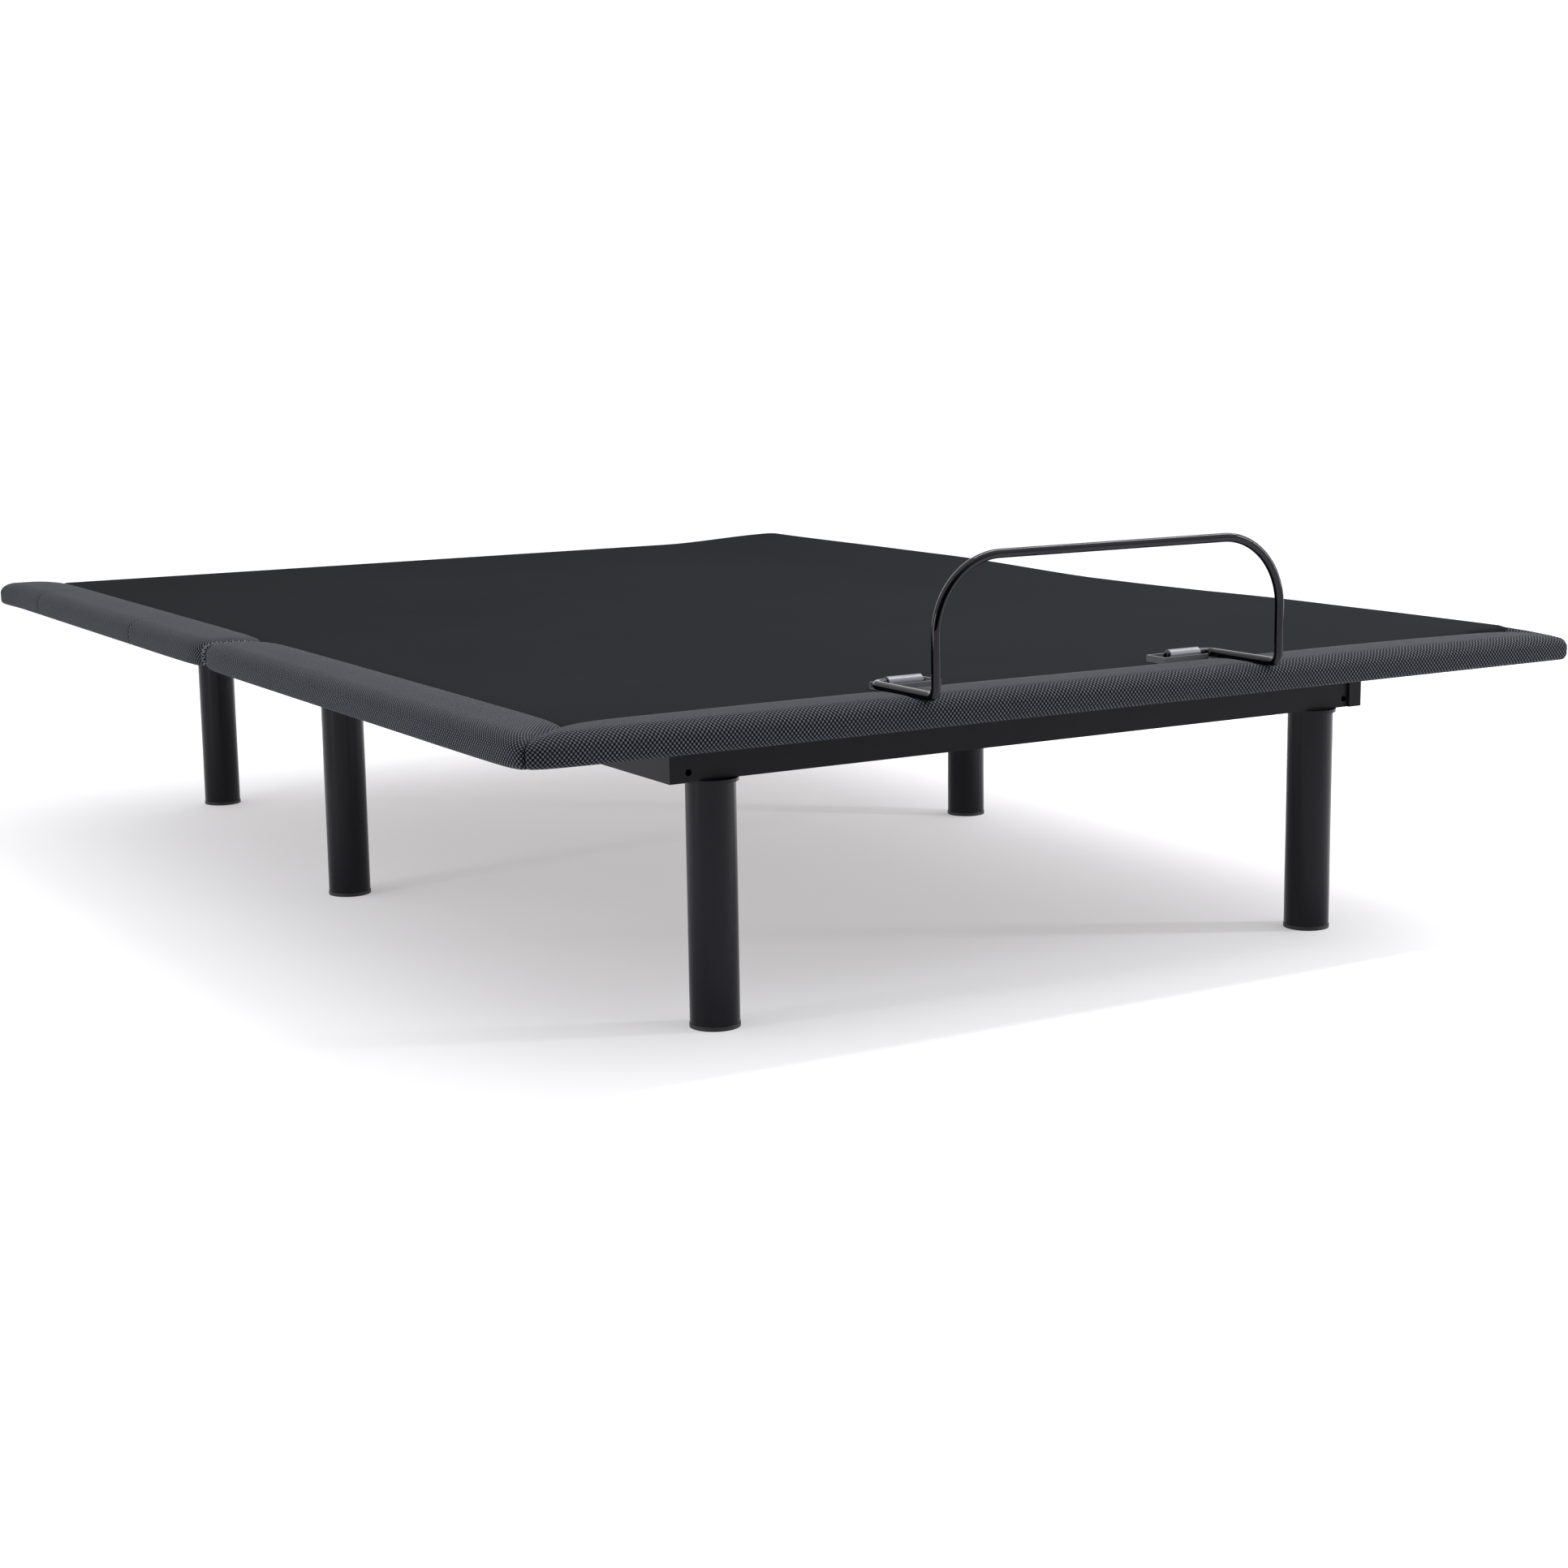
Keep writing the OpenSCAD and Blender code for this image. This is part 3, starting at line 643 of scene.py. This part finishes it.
def deck_cover():
    """One padded cloth over both boards. It runs thin over the gap at the hinge line and turns down over the head
    end.

    On the right it runs out over the padding to the nose of the edge.
    """
    tuck = 0.010
    left = -SEAM_X - tuck
    xs = [left + (SEAM_X - left) * i / 92 for i in range(93)]
    xs += [SEAM_X + (CLOTH_X - SEAM_X) * i / 16 for i in range(1, 17)] + [CLOTH_X + 0.0008]
    gap0, gap1 = PAD_HI[1], HEAD_LO[1]
    ys = [SEAM_Y - tuck + (gap0 - 0.03 - SEAM_Y + tuck) * i / 60 for i in range(60)]
    ys += [gap0 - 0.03 + (gap1 - gap0 + 0.06) * i / 28 for i in range(28)]
    ys += [gap1 + 0.03 + (HEAD_Y - 0.012 - gap1 - 0.03) * i / 60 for i in range(61)]
    r = 0.011
    profile = [(y, TOP_Z) for y in ys]
    profile += [(HEAD_Y - 0.0125 + r * math.sin(a), TOP_Z - r + r * math.cos(a))
                for a in (math.radians(d) for d in (15, 30, 45, 60, 75, 90))]
    profile += [(HEAD_Y - 0.0015, z) for z in (TOP_Z - 0.015, TOP_Z - 0.020, UNDER_Z + 0.006)]
    profile += [(HEAD_Y - inward, UNDER_Z + up) for inward, up in (
        (0.0022, 0.003), (0.005, 0.0008), (0.014, 0.0004), (0.0148, 0.004),
    )]
    profile += [(HEAD_Y - 0.0148, BOARD_Z + 0.0004)]
    thin = TOP_Z - 0.0007
    profile += [(gap1 + (HEAD_Y - 0.03 - gap1) * i / 30, BOARD_Z + 0.0004) for i in range(30, -1, -1)]
    profile += [(gap0 + (gap1 - gap0) * i / 8, thin) for i in range(8, -1, -1)]
    profile += [(gap0, BOARD_Z + 0.0004)]
    reach = gap0 - 0.02 - SEAM_Y + tuck
    profile += [(SEAM_Y - tuck + reach * i / 30, BOARD_Z + 0.0004) for i in range(30, -1, -1)]
    rows = []
    for x in xs:
        row = []
        for i, (y, z) in enumerate(profile):
            if i < len(ys) + 5:
                fade = smoothstep(0.0, 0.03, HEAD_Y - y)
                wave = noise.noise(Vector((x * 2.3, y * 2.3, 1.7))) * 0.00045
                wave += noise.noise(Vector((x * 9.0, y * 9.0, 4.1))) * 0.00012
                z += min(wave * fade, 0.0004)
                if x < 0:
                    z -= smoothstep(SEAM_X - 0.001, SEAM_X + tuck, -x) * 0.004
                if x > 0.5:
                    swollen = 0.0077 * smoothstep(0.5, CLOTH_X, x)
                    nose = max(0.0, x - SEAM_X - WIDTH + 0.025) / 0.025
                    swollen -= 0.0185 * (1 - math.sqrt(max(0.0, 1 - nose ** 2)))
                    z += swollen * right_crown(y)
                if x > CLOTH_X:
                    z -= 0.0035
                if y < SEAM_Y:
                    z -= 0.0022 + 0.3 * max(0.0, x - SEAM_X) * (x < SEAM_X + 0.02)
            row.append(Vector((x, y, z)))
        rows.append(row)
    verts, faces, _ = grid(rows, closed=True)
    obj = link("deck_cover", verts, faces, "deck_fabric")
    close_ends(obj)
    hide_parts("fixed_pad", "head_pad")
    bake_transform(obj)


deck_cover()

# ---------- retainer bar ----------


def retainer_bar():
    x, y, z = ARM_X, BAR_LO[1] + ROD_R, BAR_HI[2] - ROD_R
    big, small = 0.088, 0.012
    half = [Vector((0, y, z)), Vector((0.08, y, z))]
    half += quarter((x - big, y, z - big), (0, 0, big), (big, 0, 0), 28)
    half += [Vector((x, y, FOLD.z + 0.045))]
    half += quarter((x, y + small, FOLD.z + small), (0, -small, 0), (0, 0, -small), 12)
    half += quarter((x - small, FOLD.y - small, FOLD.z), (small, 0, 0), (0, small, 0), 12)
    half += [Vector((0.1835, FOLD.y, FOLD.z))]
    other = [Vector((-p.x, p.y, p.z)) for p in half[1:]]
    obj = tube("retainer_rod", other[::-1] + half, ROD_R, "dark_chrome", sides=28)
    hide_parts("retainer_bar")
    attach(obj, "retainer")


retainer_bar()

# ---------- stitches at the splits -----------------------------


def stitches(name, sign, y_end, into, body):
    """A row of small cross stitches that closes the end of a padded edge."""
    verts, faces = [], []
    outline = [p for p in SECTION if p[1] > UNDER_Z + 0.0008 and p[0] > 0.012]
    path = [Vector((SEAM_X + d, 0, z)) for d, z in outline]
    total = sum((b - a).length for a, b in zip(path, path[1:]))
    count = int(total / 0.0042)
    for i in range(count):
        at = total * (i + 0.5) / count
        for a, b in zip(path, path[1:]):
            step = (b - a).length
            if at <= step:
                p = a.lerp(b, at / step)
                break
            at -= step
        lean = 0.0011 if i % 2 else -0.0011
        depth = 0.0035
        dd, zz = swell(p.x - SEAM_X, p.z, split=depth)
        d2, z2 = swell(p.x - SEAM_X, p.z, split=depth + 0.0045)
        start = Vector((sign * (SEAM_X + dd + 0.0004), y_end + into * depth, zz + 0.0005 + lean))
        stop = Vector((sign * (SEAM_X + d2 + 0.0004), y_end + into * (depth + 0.0045), z2 + 0.0005 - lean))
        along = (stop - start).normalized()
        side = along.orthogonal().normalized()
        up = along.cross(side)
        base = len(verts)
        ring = 6
        for t, radius in ((0, 0.0002), (0.2, 0.0007), (0.8, 0.0007), (1, 0.0002)):
            c = start.lerp(stop, t)
            for k in range(ring):
                a = 2 * math.pi * k / ring
                verts.append(c + side * radius * math.cos(a) + up * radius * math.sin(a))
        for s in range(3):
            for k in range(ring):
                k1 = (k + 1) % ring
                low, high = base + s * ring, base + (s + 1) * ring
                faces.append((low + k, low + k1, high + k1, high + k))
        faces.append(tuple(base + k for k in reversed(range(ring))))
        faces.append(tuple(base + 3 * ring + k for k in range(ring)))
    obj = link(name, verts, faces, "thread")
    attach(obj, body)


stitches("stitches_fixed_left", -1, SPLIT_FIXED, -1, "root")
stitches("stitches_head_left", -1, SPLIT_HEAD, 1, "head")

# ---------- CAD nodes that keep their shape ----------

BEVELS = {
    "side_rail": 0.0022, "foot_cross": 0.0016, "head_cross": 0.0016, "hinge_cross": 0.0016,
    "actuator_cross": 0.0016, "outrigger": 0.0012, "leg_": 0.0008, "glide": 0.0012, "gear": 0.003,
    "control": 0.001, "lift": 0.0015,
    "bar_bracket": 0.0007, "fixed_board": 0.001, "head_board": 0.001, "rear_bracket": 0.0006,
}
for entry in frame["record"]["subparts"]:
    node = frame["nodes"][entry["node"]]
    if node.hide_render:
        continue
    material = MATS[entry["material_slot"]]
    if node.material_slots:
        for s in node.material_slots:
            s.link = "OBJECT"
            s.material = material
    else:
        node.data.materials.append(material)
    for prefix, width in BEVELS.items():
        if entry["node"].startswith(prefix):
            bevel = node.modifiers.new("edge", "BEVEL")
            bevel.width = width
            bevel.segments = 3
            bevel.limit_method = "ANGLE"
            bevel.angle_limit = math.radians(50)
            bevel.harden_normals = True
            bevel.use_clamp_overlap = True
            break

# ---------- stage, light and camera ----------


def stage():
    size = 14.0
    verts = [(-size, -size, 0), (size, -size, 0), (size, size, 0), (-size, size, 0)]
    mesh = bpy.data.meshes.new("floor")
    mesh.from_pydata(verts, [], [(0, 1, 2, 3)])
    floor = bpy.data.objects.new("floor", mesh)
    bpy.context.scene.collection.objects.link(floor)
    m = Mat("floor_paint", Roughness=0.9, Specular_IOR_Level=0.1)
    m.colour(m.mix(m.noise(m.coords(), 0.6, 2.0), (0.66, 0.655, 0.68), (0.68, 0.675, 0.70)))
    m.bsdf.inputs["Emission Color"].default_value = (0.99, 0.985, 1.0, 1.0)
    m.bsdf.inputs["Emission Strength"].default_value = 0.36
    mesh.materials.append(m.mat)
    world = bpy.data.worlds.new("studio")
    world.use_nodes = True
    tree = world.node_tree
    back = tree.nodes["Background"]
    back.inputs["Color"].default_value = (1.0, 1.0, 1.0, 1.0)
    # the side of the room behind the eye is dark, as in a studio with the lamps left, right and above
    ray = tree.nodes.new("ShaderNodeTexCoord")
    facing = tree.nodes.new("ShaderNodeVectorMath")
    facing.operation = "DOT_PRODUCT"
    facing.inputs[1].default_value = Vector((-0.40, -0.91, 0.0)).normalized()
    shade = tree.nodes.new("ShaderNodeMapRange")
    shade.interpolation_type = "SMOOTHSTEP"
    shade.inputs["From Min"].default_value = 0.30
    shade.inputs["From Max"].default_value = 0.86
    shade.inputs["To Min"].default_value = 1.10
    shade.inputs["To Max"].default_value = 0.04
    tree.links.new(ray.outputs["Generated"], facing.inputs[0])
    tree.links.new(facing.outputs["Value"], shade.inputs["Value"])
    height = tree.nodes.new("ShaderNodeSeparateXYZ")
    tree.links.new(ray.outputs["Generated"], height.inputs[0])
    lift = tree.nodes.new("ShaderNodeMapRange")
    lift.inputs["To Min"].default_value = 1.0
    lift.inputs["To Max"].default_value = 1.35
    tree.links.new(height.outputs[2], lift.inputs["Value"])
    total = tree.nodes.new("ShaderNodeMath")
    total.operation = "MULTIPLY"
    tree.links.new(shade.outputs[0], total.inputs[0])
    tree.links.new(lift.outputs[0], total.inputs[1])
    tree.links.new(total.outputs[0], back.inputs["Strength"])
    bpy.context.scene.world = world
    bpy.context.scene.view_settings.view_transform = "Standard"


def area(name, place, target, size, power):
    data = bpy.data.lights.new(name, "AREA")
    data.shape = "RECTANGLE"
    data.size, data.size_y = size
    data.energy = power
    obj = bpy.data.objects.new(name, data)
    bpy.context.scene.collection.objects.link(obj)
    obj.location = place
    obj.rotation_euler = (Vector(target) - Vector(place)).to_track_quat("-Z", "Y").to_euler()


def camera():
    """The eye stands off the foot end's left corner, a little over the deck."""
    eye = (-1.8928, -3.4842, 0.8145)
    yaw, pitch, roll = -0.5322, 0.1760, -0.0146
    ahead = Vector((-math.sin(yaw) * math.cos(pitch), math.cos(yaw) * math.cos(pitch), -math.sin(pitch)))
    right = Vector((math.cos(yaw), math.sin(yaw), 0))
    up = right.cross(ahead)
    r2 = right * math.cos(roll) + up * math.sin(roll)
    u2 = up * math.cos(roll) - right * math.sin(roll)
    data = bpy.data.cameras.new("camera")
    data.sensor_width = 36
    data.lens = 60.8
    data.clip_end = 60
    obj = bpy.data.objects.new("camera", data)
    bpy.context.scene.collection.objects.link(obj)
    obj.matrix_world = Matrix((
        (r2.x, u2.x, -ahead.x, eye[0]),
        (r2.y, u2.y, -ahead.y, eye[1]),
        (r2.z, u2.z, -ahead.z, eye[2]),
        (0, 0, 0, 1),
    ))
    bpy.context.scene.camera = obj


stage()
area("top", (1.6, -0.7, 3.0), (1.6, -0.9, 0.0), (3.2, 0.25), 75)
area("strip_right", (3.4, -2.6, 1.5), (0, -0.6, 0.3), (0.24, 2.4), 58)
area("strip_left", (-4.2, -0.6, 0.9), (-0.5, -0.4, 0.25), (0.3, 1.8), 30)
camera()
